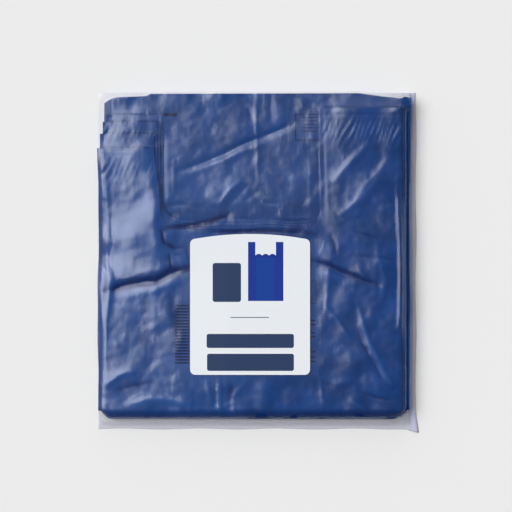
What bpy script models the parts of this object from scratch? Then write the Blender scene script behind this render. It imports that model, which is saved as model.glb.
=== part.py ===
"""Retail pack of folded t-shirt carrier bags in a clear film sleeve, lying on its back.

The bags lie flat on each other, are folded once across the middle with the handles
uppermost, and are slid into a sleeve of clear film that carries a label. A single film
is far thinner than the clearance between two solids, so the bags are joined into four
bundles that nest one inside the other at the fold.

Units are metres. +X runs across the bags, +Y from the fold to the handles, and +Z up
out of the labelled front. The origin is on the resting surface under the sleeve's middle.
"""

import math

import bmesh
import bpy

MM = 0.001

# Driving sizes.
SLEEVE_WIDTH = 309.1 * MM
SLEEVE_LENGTH = 327.2 * MM
STACK_HEIGHT = 20.5 * MM
BUNDLE_COUNT = 4
BAG_WIDTH = 293.0 * MM
FOLD_TO_HEM = 316.3 * MM
RIGHT_HANDLE_DROP = 15.4 * MM
LEFT_HANDLE_DROPS = (54.3 * MM, 40.4 * MM, 28.9 * MM, 22.2 * MM)
LEFT_HANDLE_WIDTH = 55.0 * MM
CUTOUT_WIDTH = 159.4 * MM
MOUTH_DROP = 132.7 * MM
MOUTH_STEP = 3.2 * MM
MOUTH_CORNER = 18.0 * MM
SIDE_STEP = 2.67 * MM
HEM_STEP = 0.8 * MM
LABEL_WIDTH = 115.4 * MM
LABEL_LENGTH = 135.6 * MM
LABEL_ARCH = 4.6 * MM
LABEL_CORNER = 5.0 * MM
LABEL_THICKNESS = 0.25 * MM
LABEL_CENTRE_X = -6.9 * MM
LABEL_CENTRE_Y = -41.8 * MM

# Clearances and wall thicknesses that follow from the build, not from the product.
GAP = 0.3 * MM
FILM = 0.35 * MM
FIN = 2 * FILM + GAP
FIN_RISE = 1.5 * MM
BELOW_FOLD = ((0.8 * MM, 5.0 * MM), (2.0 * MM, 2.2 * MM), (4.0 * MM, FIN))
ARC_STEPS = 8

# Sizes worked out from the driving ones.
CLEARANCE = GAP + FILM
STACK_BASE = CLEARANCE
STACK_TOP = STACK_BASE + STACK_HEIGHT
MID_HEIGHT = STACK_BASE + STACK_HEIGHT / 2
FOLD_RADIUS = STACK_HEIGHT / 2
LEAF = (STACK_HEIGHT - (2 * BUNDLE_COUNT - 1) * GAP) / (2 * BUNDLE_COUNT)
LEAF_PITCH = LEAF + GAP
HEM_Y = SLEEVE_LENGTH / 2 - CLEARANCE
FOLD_Y = HEM_Y - FOLD_TO_HEM + FOLD_RADIUS
HANDLE_Y = HEM_Y - RIGHT_HANDLE_DROP
LEFT_X = -SLEEVE_WIDTH / 2 + CLEARANCE
RIGHT_X = LEFT_X + BAG_WIDTH
LAST_STEP = (BUNDLE_COUNT - 1) * SIDE_STEP
LOWEST_TOP = STACK_TOP - (BUNDLE_COUNT - 1) * LEAF_PITCH
CORNER_SHARE = math.sqrt(2) - 1


def clear_scene():
    for item in list(bpy.data.objects):
        bpy.data.objects.remove(item, do_unlink=True)


def make_material(name, colour, roughness, alpha=1.0):
    material = bpy.data.materials.new(name)
    material.use_nodes = True
    shader = material.node_tree.nodes["Principled BSDF"]
    shader.inputs["Base Color"].default_value = (*colour, 1.0)
    shader.inputs["Roughness"].default_value = roughness
    shader.inputs["Metallic"].default_value = 0.0
    shader.inputs["Alpha"].default_value = alpha
    return material


def add_object(name, mesh_builder, material):
    mesh = bpy.data.meshes.new(name)
    bmesh.ops.recalc_face_normals(mesh_builder, faces=mesh_builder.faces)
    mesh_builder.to_mesh(mesh)
    mesh_builder.free()
    if material is not None:
        mesh.materials.append(material)
    item = bpy.data.objects.new(name, mesh)
    bpy.context.scene.collection.objects.link(item)
    return item


def extrude_outline(name, points, travel, material=None):
    """One flat outline pushed along a vector into a closed solid."""
    builder = bmesh.new()
    face = builder.faces.new([builder.verts.new(point) for point in points])
    pushed = bmesh.ops.extrude_face_region(builder, geom=[face])
    moved = [item for item in pushed["geom"] if isinstance(item, bmesh.types.BMVert)]
    bmesh.ops.translate(builder, verts=moved, vec=travel)
    return add_object(name, builder, material)


def arc(centre, radius, start, stop, steps=ARC_STEPS):
    """Points on a circle from one angle to another, both ends included."""
    points = []
    for step in range(steps + 1):
        angle = start + (stop - start) * step / steps
        points.append((centre[0] + radius * math.cos(angle), centre[1] + radius * math.sin(angle)))
    return points


def hairpin_outline(level):
    """Side view (y, z) of one bundle: lower leg, round fold, upper leg, and back inside."""
    outer = FOLD_RADIUS - level * LEAF_PITCH
    inner = outer - LEAF
    centre = (FOLD_Y, MID_HEIGHT)
    hem = HEM_Y - level * HEM_STEP
    outline = [(hem, MID_HEIGHT - outer)]
    outline += arc(centre, outer, 1.5 * math.pi, 0.5 * math.pi, 2 * ARC_STEPS)
    outline += [(HANDLE_Y, MID_HEIGHT + outer), (HANDLE_Y, MID_HEIGHT + inner)]
    outline += arc(centre, inner, 0.5 * math.pi, 1.5 * math.pi, 2 * ARC_STEPS)
    outline.append((hem, MID_HEIGHT - inner))
    return outline


def trim_outline(level):
    """Plan (x, y) of what is cut from a bundle's upper leg: the left handle's end and the mouth."""
    shift = level * SIDE_STEP
    left = LEFT_X + shift + LEFT_HANDLE_WIDTH
    right = left + CUTOUT_WIDTH
    handle_end = HEM_Y - LEFT_HANDLE_DROPS[level]
    beyond = 2 * CLEARANCE
    low = HEM_Y - MOUTH_DROP + level * MOUTH_STEP + MOUTH_CORNER
    outline = [(LEFT_X - beyond, HANDLE_Y + beyond), (LEFT_X - beyond, handle_end), (left, handle_end)]
    outline += arc((left + MOUTH_CORNER, low), MOUTH_CORNER, math.pi, 1.5 * math.pi)
    outline += arc((right - MOUTH_CORNER, low), MOUTH_CORNER, -0.5 * math.pi, 0)
    outline.append((right, HANDLE_Y + beyond))
    return outline


def make_bundle(level, material):
    """A quarter of the bags, folded in half round the bundles inside it."""
    name = f"bag_bundle_{level + 1}"
    left = LEFT_X + level * SIDE_STEP
    side = [(left, y, z) for y, z in hairpin_outline(level)]
    bundle = extrude_outline(name, side, (BAG_WIDTH, 0, 0), material)
    plan = [(x, y, MID_HEIGHT) for x, y in trim_outline(level)]
    cutter = extrude_outline(f"{name}_cutter", plan, (0, 0, STACK_HEIGHT))
    cutter.hide_render = True
    cutter.display_type = "WIRE"
    trim = bundle.modifiers.new("handles_and_mouth", "BOOLEAN")
    trim.operation = "DIFFERENCE"
    trim.object = cutter
    return bundle


def sleeve_section(y, top, clearance):
    """One ring of film across the pack, that far from the bags: base, left wall, top, right slope, fin."""
    inset = CLEARANCE - clearance
    fin_top = FIN - inset
    left = LEFT_X - clearance
    wall = RIGHT_X + LAST_STEP + clearance
    tip = SLEEVE_WIDTH / 2 - inset
    lowered = STACK_TOP + clearance - top
    shoulder = min(RIGHT_X + CORNER_SHARE * clearance + lowered, wall - GAP)
    elbow = min(LOWEST_TOP + CORNER_SHARE * clearance, top)
    foot = min(fin_top + FIN_RISE, elbow)
    ring = [(left, inset), (left, top), (shoulder, top), (wall, elbow), (wall + FIN_RISE / 2, foot)]
    ring += [(wall + FIN_RISE, fin_top), (tip, fin_top), (tip, inset)]
    return [(x, y, z) for x, z in ring]


def sleeve_rings(clearance):
    """Every ring of one skin of the sleeve, from the closed end past the fold to the open lips."""
    inset = CLEARANCE - clearance
    full = STACK_TOP + clearance
    stations = [(HEM_Y + clearance, MID_HEIGHT + clearance), (HANDLE_Y + clearance, full)]
    for step in range(ARC_STEPS + 1):
        angle = 0.5 * math.pi * step / ARC_STEPS
        reach = FOLD_RADIUS + clearance
        stations.append((FOLD_Y - reach * math.sin(angle), MID_HEIGHT + reach * math.cos(angle)))
    below = stations[-1][0]
    for drop, height in BELOW_FOLD:
        stations.append((below - drop, height - inset))
    stations.append((-SLEEVE_LENGTH / 2, FIN - inset))
    return [sleeve_section(y, top, clearance) for y, top in stations]


def make_sleeve(material):
    """The clear sleeve: an outer and an inner skin, joined round the lips of its open end."""
    builder = bmesh.new()
    lips = []
    for clearance in (CLEARANCE, GAP):
        rings = [[builder.verts.new(point) for point in ring] for ring in sleeve_rings(clearance)]
        builder.faces.new(rings[0])
        for ring, following in zip(rings, rings[1:]):
            bridge(builder, ring, following)
        lips.append(rings[-1])
    bridge(builder, *lips)
    return add_object("clear_sleeve", builder, material)


def bridge(builder, ring, following):
    """Quads between two rings of the same number of points."""
    for place, corner in enumerate(ring):
        behind = place - 1
        builder.faces.new((ring[behind], corner, following[place], following[behind]))


def label_outline():
    """Plan (x, y) of the label: rounded corners, straight sides and foot, a gently arched top."""
    half = LABEL_WIDTH / 2
    low = LABEL_CENTRE_Y - LABEL_LENGTH / 2
    side_top = LABEL_CENTRE_Y + LABEL_LENGTH / 2 - LABEL_ARCH
    inner = half - LABEL_CORNER
    left = LABEL_CENTRE_X - inner
    right = LABEL_CENTRE_X + inner
    outline = arc((left, low + LABEL_CORNER), LABEL_CORNER, math.pi, 1.5 * math.pi)
    outline += arc((right, low + LABEL_CORNER), LABEL_CORNER, -0.5 * math.pi, 0)
    outline += arc((right, side_top - LABEL_CORNER), LABEL_CORNER, 0, 0.5 * math.pi)
    for step in range(1, 2 * ARC_STEPS):
        across = 1 - step / ARC_STEPS
        outline.append((LABEL_CENTRE_X + inner * across, side_top + LABEL_ARCH * (1 - across**2)))
    outline += arc((left, side_top - LABEL_CORNER), LABEL_CORNER, 0.5 * math.pi, math.pi)
    return outline


def make_label(material):
    """The self-adhesive label on the front of the sleeve, over the mouth of the bags."""
    base = STACK_TOP + CLEARANCE + GAP
    plan = [(x, y, base) for x, y in label_outline()]
    return extrude_outline("front_label", plan, (0, 0, LABEL_THICKNESS), material)


def main():
    clear_scene()
    for level in range(BUNDLE_COUNT):
        name = f"blue_bag_film_{level + 1}"
        make_bundle(level, make_material(name, (0.030, 0.090, 0.290), 0.42))
    make_sleeve(make_material("clear_sleeve_film", (0.90, 0.92, 0.95), 0.12, alpha=0.25))
    make_label(make_material("white_label_paper", (0.80, 0.83, 0.88), 0.55))


main()
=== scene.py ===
import logging
import math
from dataclasses import dataclass
from enum import Enum
from functools import partial
from typing import Callable

import bpy
import numpy as np
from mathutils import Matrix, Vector


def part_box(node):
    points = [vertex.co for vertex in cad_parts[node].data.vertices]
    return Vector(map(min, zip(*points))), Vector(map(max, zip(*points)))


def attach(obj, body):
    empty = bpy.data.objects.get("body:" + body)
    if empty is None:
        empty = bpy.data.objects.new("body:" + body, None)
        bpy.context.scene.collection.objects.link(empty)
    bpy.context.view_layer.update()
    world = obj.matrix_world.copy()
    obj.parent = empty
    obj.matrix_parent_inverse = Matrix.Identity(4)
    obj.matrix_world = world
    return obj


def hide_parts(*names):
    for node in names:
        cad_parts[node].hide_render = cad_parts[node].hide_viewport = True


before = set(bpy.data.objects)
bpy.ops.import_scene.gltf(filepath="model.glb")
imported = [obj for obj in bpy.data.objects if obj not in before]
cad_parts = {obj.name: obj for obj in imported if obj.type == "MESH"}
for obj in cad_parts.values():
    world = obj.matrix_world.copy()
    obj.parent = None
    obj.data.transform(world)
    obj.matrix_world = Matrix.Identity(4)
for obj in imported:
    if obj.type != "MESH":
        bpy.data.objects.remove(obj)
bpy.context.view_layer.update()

# The looks of a sealed pack of folded carrier bags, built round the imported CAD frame.
# Sizes and heights are in millimetres in the row frame: +X across the bags, +Y from the
# fold to the handles, +Z up out of the labelled front. Meshes are written in metres.

MM = 0.001
BODY = "root"
LOG = logging.getLogger("bag_pack")

Array = np.ndarray
Material = bpy.types.Material
NodeTree = bpy.types.NodeTree
Piece = bpy.types.Object
Socket = bpy.types.NodeSocket
Surface = Callable[[Array, Array], Array]
Path = tuple[tuple[float, float], ...]
Stretch = tuple[float, float]


# ---------------------------------------------------------------- small helpers


def linear(colour: str) -> tuple[float, float, float, float]:
    """Turns an sRGB hex colour into linear light.

    Args:
        colour: The colour as "#RRGGBB".

    Returns:
        Red, green, blue and an alpha of one.
    """
    parts = [int(colour[place:place + 2], 16) / 255 for place in (1, 3, 5)]
    curve = [part / 12.92 if part <= 0.04045 else ((part + 0.055) / 1.055) ** 2.4 for part in parts]
    return (curve[0], curve[1], curve[2], 1.0)


def add_node(tree: NodeTree, kind: str, sockets: dict | None = None, output: int | str = 0,
             **settings: object) -> Socket | None:
    """Adds one node, with its settings, its socket values and its links.

    Args:
        tree: The node tree that the node goes in.
        kind: The node's type name, after "ShaderNode".
        sockets: Input names or places, each with a value or with the output that feeds it.
        output: Name or place of the output that is wanted.
        **settings: The node's own properties.

    Returns:
        That output, or None where the node has no output.
    """
    node = tree.nodes.new("ShaderNode" + kind)
    for name, value in settings.items():
        setattr(node, name, value)
    for name, value in (sockets or {}).items():
        if isinstance(value, Socket):
            tree.links.new(value, node.inputs[name])
        else:
            node.inputs[name].default_value = value
    return node.outputs[output] if node.outputs else None


def smooth(value: Array, low: float, high: float) -> Array:
    """Rises softly from 0 at low to 1 at high."""
    share = np.clip((value - low) / (high - low), 0, 1)
    return share * share * (3 - 2 * share)


def box_mm(node: str) -> tuple[Array, Array]:
    """Lowest and highest corner of a CAD node, in millimetres."""
    low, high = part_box(node)
    return np.array(low) / MM, np.array(high) / MM


def spaced(stops: list[tuple[float, float]]) -> Array:
    """Places along a line, with a spacing of its own for each stretch.

    Args:
        stops: Each stretch's start and its spacing. The last one only ends the line.

    Returns:
        All places in order, both ends included.
    """
    places = [np.array([stops[0][0]])]
    for (start, step), (stop, _) in zip(stops, stops[1:]):
        count = max(1, round(abs(stop - start) / step))
        places.append(np.linspace(start, stop, count + 1)[1:])
    return np.concatenate(places)


def make_piece(name: str, points: Array, faces: list, material: Material) -> Piece:
    """Makes a mesh object from points in millimetres, shaded smooth.

    Args:
        name: The piece's name.
        points: An array of x, y and z.
        faces: Each face's point numbers.
        material: The finish of its first slot.

    Returns:
        The new object, linked to the scene.
    """
    mesh = bpy.data.meshes.new(name)
    mesh.from_pydata((points * MM).tolist(), [], faces)
    mesh.materials.append(material)
    mesh.shade_smooth()
    piece = bpy.data.objects.new(name, mesh)
    bpy.context.scene.collection.objects.link(piece)
    return piece


def closed_skins(upper: Array, lower: Array, keep: Array) -> tuple[Array, list, int]:
    """Joins two skins of the same grid into closed walls.

    Args:
        upper: Points of the outer skin, rows by columns by three.
        lower: Points of the inner skin, on the same grid.
        keep: Which grid cells have material.

    Returns:
        All points, all faces, and how many of the faces belong to the two skins.
    """
    rows, columns = upper.shape[:2]
    number = np.arange(rows * columns).reshape(rows, columns)
    a, b = number[:-1, :-1][keep], number[:-1, 1:][keep]
    c, d = number[1:, 1:][keep], number[1:, :-1][keep]
    shift = rows * columns
    top = np.stack([a, b, c, d], axis=1)
    bottom = np.stack([d, c, b, a], axis=1) + shift
    edges = np.concatenate([top[:, [0, 1]], top[:, [1, 2]], top[:, [2, 3]], top[:, [3, 0]]])
    both = {(int(start), int(stop)) for start, stop in edges}
    rim = [(start, stop) for start, stop in sorted(both) if (stop, start) not in both]
    walls = [(stop, start, start + shift, stop + shift) for start, stop in rim]
    faces = top.tolist() + bottom.tolist()
    points = np.concatenate([upper.reshape(-1, 3), lower.reshape(-1, 3)])
    used = np.unique(np.array(faces))
    renumber = np.zeros(len(points), int)
    renumber[used] = np.arange(len(used))
    renumbered = renumber[np.array(faces)].tolist() + renumber[np.array(walls)].tolist()
    return points[used], renumbered, len(faces)


# ---------------------------------------------------------------- folds and creases


class CreaseKind(Enum):
    """How film stands along a crease."""

    RIDGE = "ridge"
    VALLEY = "valley"
    LEDGE = "ledge"


@dataclass(frozen=True)
class Crease:
    """One crease pressed or pulled into film."""

    kind: CreaseKind
    path: Path
    height: float
    width: float

    def height_at(self, x: Array, y: Array) -> Array:
        """Height that the crease adds.

        Args:
            x: Places across the pack.
            y: Places along the pack.

        Returns:
            The added height at each place.
        """
        nearest = np.full(x.shape, np.inf)
        side = np.zeros(x.shape)
        along = np.zeros(x.shape)
        lengths = [math.dist(start, stop) for start, stop in zip(self.path, self.path[1:])]
        walked = 0.0
        for (start, stop), length in zip(zip(self.path, self.path[1:]), lengths):
            run = ((stop[0] - start[0]) / length, (stop[1] - start[1]) / length)
            ahead = np.clip((x - start[0]) * run[0] + (y - start[1]) * run[1], 0, length)
            off_x = x - start[0] - ahead * run[0]
            off_y = y - start[1] - ahead * run[1]
            distance = np.hypot(off_x, off_y)
            closer = distance < nearest
            nearest = np.where(closer, distance, nearest)
            side = np.where(closer, np.sign(run[0] * off_y - run[1] * off_x), side)
            along = np.where(closer, walked + ahead, along)
            walked += length
        taper = np.sin(np.pi * np.clip(along / walked, 0, 1)) ** 0.5
        if self.kind is CreaseKind.LEDGE:
            profile = side * np.tanh(nearest / self.width) * np.exp(-((nearest / (6 * self.width)) ** 2))
        else:
            profile = np.exp(-((nearest / self.width) ** 1.4))
        sign = -1.0 if self.kind is CreaseKind.VALLEY else 1.0
        return sign * self.height * taper * profile


@dataclass(frozen=True)
class Crumple:
    """Flat facets that film keeps after it was folded and handled."""

    seed: int
    waves: int
    shortest: float
    longest: float
    height: float
    way: float = 0.0
    fan: float = math.pi

    def height_at(self, x: Array, y: Array) -> Array:
        """Height of the crumpled facets.

        Args:
            x: Places across the pack.
            y: Places along the pack.

        Returns:
            The added height, about zero on average.
        """
        chance = np.random.default_rng(self.seed)
        total = np.zeros(x.shape)
        for _ in range(self.waves):
            angle = self.way + self.fan * chance.uniform(0, 1)
            length = math.exp(chance.uniform(math.log(self.shortest), math.log(self.longest)))
            phase, bend = chance.uniform(0, 1, 2)
            across = x * math.cos(angle) + y * math.sin(angle)
            beside = y * math.cos(angle) - x * math.sin(angle)
            wave = across / length + phase + 0.22 * np.sin(beside / length * 2.1 + 6.3 * bend)
            facet = 4 * np.abs(wave - np.floor(wave) - 0.5) - 1
            total += facet * length / self.longest
        return self.height * total / math.sqrt(self.waves)


@dataclass(frozen=True)
class HandleEnd:
    """Welded end of a handle: fine weld lines, and the gathers that the weld pulls up."""

    end: float
    left: float
    right: float
    weld_pitch: float = 2.3
    weld_height: float = 0.24
    gather_pitch: float = 5.2
    gather_height: float = 0.62
    gather_reach: float = 22.0
    gather_slant: float = 0.42
    side_fade: float = 5.0

    def height_at(self, x: Array, y: Array) -> Array:
        """Height of the weld lines and gathers.

        Args:
            x: Places across the pack.
            y: Places along the pack.

        Returns:
            The added height at each place.
        """
        down = self.end - y
        inside = smooth(x, self.left, self.left + self.side_fade)
        inside = inside * (1 - smooth(x, self.right - self.side_fade, self.right))
        weld = self.weld_height * np.sin(2 * np.pi * down / self.weld_pitch)
        weld = weld * np.exp(-((down - 5) / 6) ** 2)
        sway = 3.2 * np.sin(x / 9.0) + 2.0 * np.sin(x / 4.1 + 1.0)
        reach = np.exp(-(((down - self.gather_reach - 0.6 * sway) / 9) ** 2))
        across = x + self.gather_slant * down + 0.5 * sway
        gathers = self.gather_height * reach * np.sin(2 * np.pi * across / self.gather_pitch)
        return inside * (weld + gathers)


def total_height(features: tuple, x: Array, y: Array) -> Array:
    """Adds up the heights of several features.

    Args:
        features: Creases, crumples or handle ends.
        x: Places across the pack.
        y: Places along the pack.

    Returns:
        The height that they add together at each place.
    """
    height = np.zeros(np.broadcast(x, y).shape)
    for feature in features:
        height = height + feature.height_at(x, y)
    return height


ridge, valley, ledge = [partial(Crease, kind) for kind in CreaseKind]

# Folds that go through both the bags and the clear film over them.
LABEL_FOLD = ((-150, -30), (-117, -21), (-96, -19), (-85, -12), (-72, -9), (-56, -1))
MOUTH_EDGE = ((-46, 28), (0, 28.5), (44, 28), (60, 24))
MOUTH_FOLD = ((-92, 31), (-62, 34), (-42, 39), (-24, 46))
LONG_FOLD = ((-79, 85), (-55, 94), (-34, 102), (-17, 111), (1, 118), (36, 132))

# Creases of the outermost bag's front: its handles above the mouth, its body below.
FRONT_CREASES = (
    valley(LABEL_FOLD, 2.2, 4.2),
    ridge(((-144, -38), (-103, -30), (-90, -24), (-76, -20), (-62, -12)), 0.8, 3.4),
    valley(MOUTH_EDGE, 1.6, 2.4),
    valley(MOUTH_FOLD, 1.8, 2.4),
    valley(((-93, 34), (-90, 18), (-79, 12), (-70, 14)), 1.1, 2.0),
    valley(((-85, 8), (-83, -10)), 0.8, 1.6),
    valley(((-69, 16), (-66, -2)), 0.8, 1.8),
    ridge(((-80, 4), (-70, -2)), 0.7, 3.0),
    valley(((48, 3), (70, -4), (87, -12), (120, -24)), 1.6, 2.6),
    ridge(((52, -8), (72, -13), (96, -26)), 0.7, 4.0),
    ridge(((69, -5), (68, -27), (66, -50)), 0.8, 1.6),
    ridge(((66, -44), (76, -55), (88, -73)), 0.7, 1.5),
    valley(((70, 26), (74, 16), (76, 6)), 1.2, 1.8),
    valley(((90, 6), (116, 3), (137, 1)), 0.7, 1.6),
    valley(((92, 29), (107, 25), (120, 20)), 0.7, 1.8),
    ridge(((114, 20), (119, -9), (123, -19), (118, -44)), 0.7, 2.4),
    ridge(((96, -38), (103, -66), (108, -80), (118, -99), (131, -122)), 1.2, 2.4),
    valley(((92, -52), (99, -76), (112, -99), (124, -118)), 0.8, 2.2),
    valley(((99, -79), (108, -88)), 0.7, 1.4),
    valley(((96, -125), (114, -131), (131, -134)), 0.9, 1.8),
    ridge(((88, -134), (107, -145)), 0.6, 3.0),
    ridge(((58, -106), (61, -116), (64, -142)), 0.7, 1.3),
    ledge(((60, -114), (76, -121), (92, -118)), 0.5, 2.0),
    ridge(((-50, -108), (-44, -140)), 0.6, 1.8),
    ridge(((-37, -110), (-36, -149)), 0.8, 1.4),
    valley(((-24, -118), (-26, -136)), 0.6, 4.0),
    ridge(((-10, -114), (-23, -131), (-23, -150)), 0.7, 1.8),
    ridge(((-44, -143), (-33, -141), (-23, -135)), 0.5, 1.2),
    ridge(((-147, -120), (-132, -109), (-116, -106)), 0.9, 3.0),
    valley(((-142, -126), (-120, -120), (-96, -116)), 0.6, 4.0),
    ridge(((-128, -141), (-103, -133), (-84, -135), (-62, -138)), 0.9, 4.0),
    ridge(((-98, -24), (-100, -46), (-97, -66)), 0.5, 2.6),
    valley(((-106, -20), (-108, -60), (-112, -88)), 0.5, 5.0),
    valley(((-84, -30), (-78, -66), (-82, -100)), 0.5, 6.0),
    ridge(((96, -4), (102, -16), (110, -20)), 0.5, 2.0),
    ridge(((-150, 56), (-142, 20), (-141, -20), (-147, -60), (-148, -110)), 0.9, 1.8),
    valley(((-136, 100), (-126, 86), (-122, 64)), 0.4, 2.0),
    ridge(((109, 115), (99, 104), (87, 92), (72, 75)), 0.6, 3.0),
    ridge(((129, 101), (113, 77), (99, 60), (80, 43)), 0.7, 3.6),
    ridge(((66, 146), (67, 90), (68, 36)), 0.4, 1.3),
    valley(((63, 146), (64, 90), (65, 36)), 0.6, 1.1),
)

# Creases of the lower half's face, which shows between the handles.
RECESS_CREASES = (
    valley(LONG_FOLD, 1.8, 2.8),
    ridge(((-72, 82), (-40, 94), (-12, 107), (14, 117)), 0.7, 3.2),
    ridge(((-38, 52), (-26, 68), (-14, 77)), 1.2, 2.4),
    valley(((-30, 50), (-18, 64), (-8, 74)), 0.9, 3.0),
    ridge(((-80, 100), (-80, 66)), 0.8, 1.4),
    valley(((-92, 51), (-73, 55), (-59, 50)), 0.8, 2.0),
    ridge(((-89, 45), (-70, 51), (-43, 46), (-36, 50)), 0.8, 2.2),
    valley(((-92, 31), (-78, 33), (-57, 35), (-42, 40), (-28, 44)), 1.2, 2.2),
    valley(((-37, 51), (-28, 44), (-24, 37), (-21, 28)), 1.1, 1.6),
    valley(((-14, 57), (2, 69)), 0.9, 3.0),
    valley(((-3, 57), (10, 56), (22, 55), (34, 47)), 1.1, 1.8),
    ridge(((20, 44), (28, 41), (58, 41)), 1.0, 1.6),
    valley(((18, 38), (40, 36), (60, 38)), 0.9, 1.8),
    ridge(((0, 163), (-1, 136), (1, 97), (-1, 68)), 0.7, 1.3),
    ridge(((8, 163), (8, 140)), 0.6, 1.2),
    valley(((13, 163), (13, 132)), 1.1, 3.4),
    valley(((-17, 156), (-8, 147), (-4, 132)), 1.1, 1.8),
    ledge(((-26, 162), (-13, 151), (-5, 139)), 0.6, 1.8),
    ridge(((24, 163), (37, 161), (50, 153)), 0.9, 2.0),
    ridge(((40, 155), (47, 146)), 0.9, 1.6),
    valley(((20, 158), (30, 150), (40, 146)), 0.8, 3.0),
    valley(((-66, 92), (-55, 74), (-42, 56)), 0.5, 6.0),
    ridge(((51, 104), (51, 54)), 0.5, 1.4),
    valley(((6, 89), (14, 84)), 0.8, 1.4),
    valley(((-2, 88), (-1, 72)), 0.7, 2.0),
    valley(((56, 120), (57, 40)), 0.5, 4.0),
    valley(((-89.8, 142), (-90.0, 96), (-89.4, 60), (-87.5, 38)), 0.9, 2.0),
    valley(((59.4, 152), (59.2, 100), (60.0, 40)), 1.6, 2.3),
)

# Streaks where the clear film itself is drawn tight or folded over.
SLEEVE_CREASES = (
    ridge(((108, 114), (99, 104), (87, 92), (73, 76)), 1.7, 4.4),
    ridge(((129, 104), (113, 77), (99, 60), (79, 42)), 2.4, 4.4),
    ridge(((75, 37), (84, 38), (94, 36)), 0.7, 2.0),
    valley(LABEL_FOLD, 2.4, 3.6),
    ridge(((-140, -20), (-110, -12), (-94, -9), (-82, -3)), 1.3, 4.6),
    valley(((48, 3), (70, -4), (87, -12), (122, -25)), 1.8, 2.6),
    valley(LONG_FOLD, 2.2, 2.8),
    ridge(((-72, 80), (-52, 88), (-30, 97), (-8, 107), (12, 114)), 0.6, 3.2),
    ridge(((69, -5), (67, -46), (84, -66), (97, -85)), 1.0, 2.8),
    valley(MOUTH_EDGE, 1.2, 2.4),
    valley(MOUTH_FOLD, 1.2, 2.6),
    valley(((-92, 52), (-73, 55), (-58, 50)), 1.0, 2.2),
    ridge(((-38, 52), (-26, 68), (-14, 78)), 1.2, 3.2),
    ridge(((0, 163), (-1, 136), (1, 97), (-1, 62)), 0.5, 2.4),
    ridge(((-37, -112), (-36, -150)), 0.9, 2.4),
    ridge(((-128, -140), (-103, -133), (-84, -134), (-62, -137)), 1.2, 4.4),
    ridge(((20, 44), (30, 41), (58, 41)), 0.9, 2.4),
    ridge(((-92, 30), (-60, 32), (-30, 44)), 0.8, 2.6),
    ridge(((-145, 80), (-144, 36), (-146, 0), (-142, -18), (-145, -60), (-146, -118)), 1.9, 2.4),
    ridge(((-139, 78), (-136, 30), (-140, -6)), 0.5, 3.4),
    ridge(((97, -40), (104, -66), (110, -82), (120, -101), (130, -122)), 0.6, 1.6),
    ridge(((66, 22), (64, 12), (60, 4)), 0.6, 1.4),
    ridge(((-120, -138), (-108, -134), (-96, -134)), 0.5, 1.6),
    ridge(((-145, -119), (-134, -111), (-120, -106)), 0.7, 2.0),
    ridge(((58, -107), (61, -115)), 0.6, 1.2),
    ridge(((112, -138), (125, -147)), 0.6, 1.2),
    ridge(((38, 162), (50, 154)), 0.6, 1.4),
    ridge(((116, 45), (128, 26), (134, 18)), 0.6, 3.6),
    ridge(((135, 84), (137, 34), (138, 8), (138.2, -12), (138, -40), (136.5, -80)), 2.4, 2.4),
)


# ---------------------------------------------------------------- finishes


def start_material(name: str) -> tuple[Material, NodeTree, Socket]:
    """Starts a material with an empty node tree.

    Args:
        name: The material's name.

    Returns:
        The material, its node tree and the output that gives places on the piece.
    """
    material = bpy.data.materials.new(name)
    material.use_nodes = True
    tree = material.node_tree
    tree.nodes.clear()
    return material, tree, add_node(tree, "TexCoord", output="Object")


def add_noise(tree: NodeTree, place: Socket, size_mm: float, detail: float,
              stretch: tuple[float, ...] | None = None, roughness: float = 0.5) -> Socket:
    """Adds noise whose features have a real size.

    Args:
        tree: The node tree that the noise goes in.
        place: The output that gives places on the piece.
        size_mm: Size of one feature.
        detail: How many finer octaves it has.
        stretch: How quickly the noise changes along X, Y and Z, where that differs.
        roughness: How strong the finer octaves are.

    Returns:
        The noise's value.
    """
    if stretch:
        place = add_node(tree, "Mapping", {"Vector": place, "Scale": stretch})
    return add_node(tree, "TexNoise", {"Vector": place, "Scale": 1 / (size_mm * MM), "Detail": detail,
                                       "Roughness": roughness})


def add_bump(tree: NodeTree, height: Socket, strength: float, depth_mm: float) -> Socket:
    """Adds a bump with a real depth."""
    return add_node(tree, "Bump", {"Height": height, "Strength": strength, "Distance": depth_mm * MM})


def add_ramp(tree: NodeTree, share: Socket, stops: tuple[tuple[float, str], ...]) -> Socket:
    """Adds a ramp from one colour to another.

    Args:
        tree: The node tree that the ramp goes in.
        share: The value that picks a place on the ramp.
        stops: Place and sRGB hex colour of the ramp's start and of its end.

    Returns:
        The ramp's colour.
    """
    ramp = add_node(tree, "ValToRGB", {"Fac": share})
    for element, (position, colour) in zip(ramp.node.color_ramp.elements, stops):
        element.position = position
        element.color = linear(colour)
    return ramp


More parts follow.
